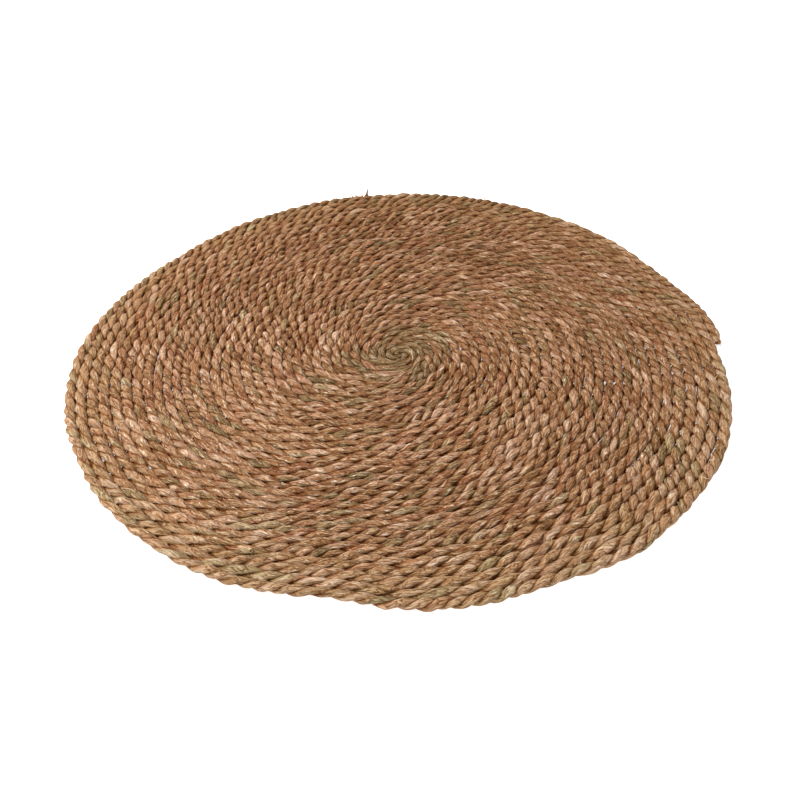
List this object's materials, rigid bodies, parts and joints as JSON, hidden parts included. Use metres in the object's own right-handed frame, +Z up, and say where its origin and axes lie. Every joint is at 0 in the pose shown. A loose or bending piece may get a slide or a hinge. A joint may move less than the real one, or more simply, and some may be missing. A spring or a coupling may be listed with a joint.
{
  "type": "round rug",
  "caption": "Flat round floor rug of twisted dried-leaf rope wound in a spiral and sewn row to row, with a slightly uneven rounded edge where the rope's end is tucked in.",
  "frame": {"origin": "middle of the rug's outer box, on the floor under it", "axes": "+Z up out of the rug's top, +X towards the side where the rope ends, +Y to the rug's far side"},
  "size_m": [0.9036, 0.9026, 0.013],
  "materials": {
    "leaf_rope": "matte dried leaf, twisted into rope"
  },
  "bodies": {
    "root": {"coiled_rope": "leaf_rope"}
  },
  "joints": []
}
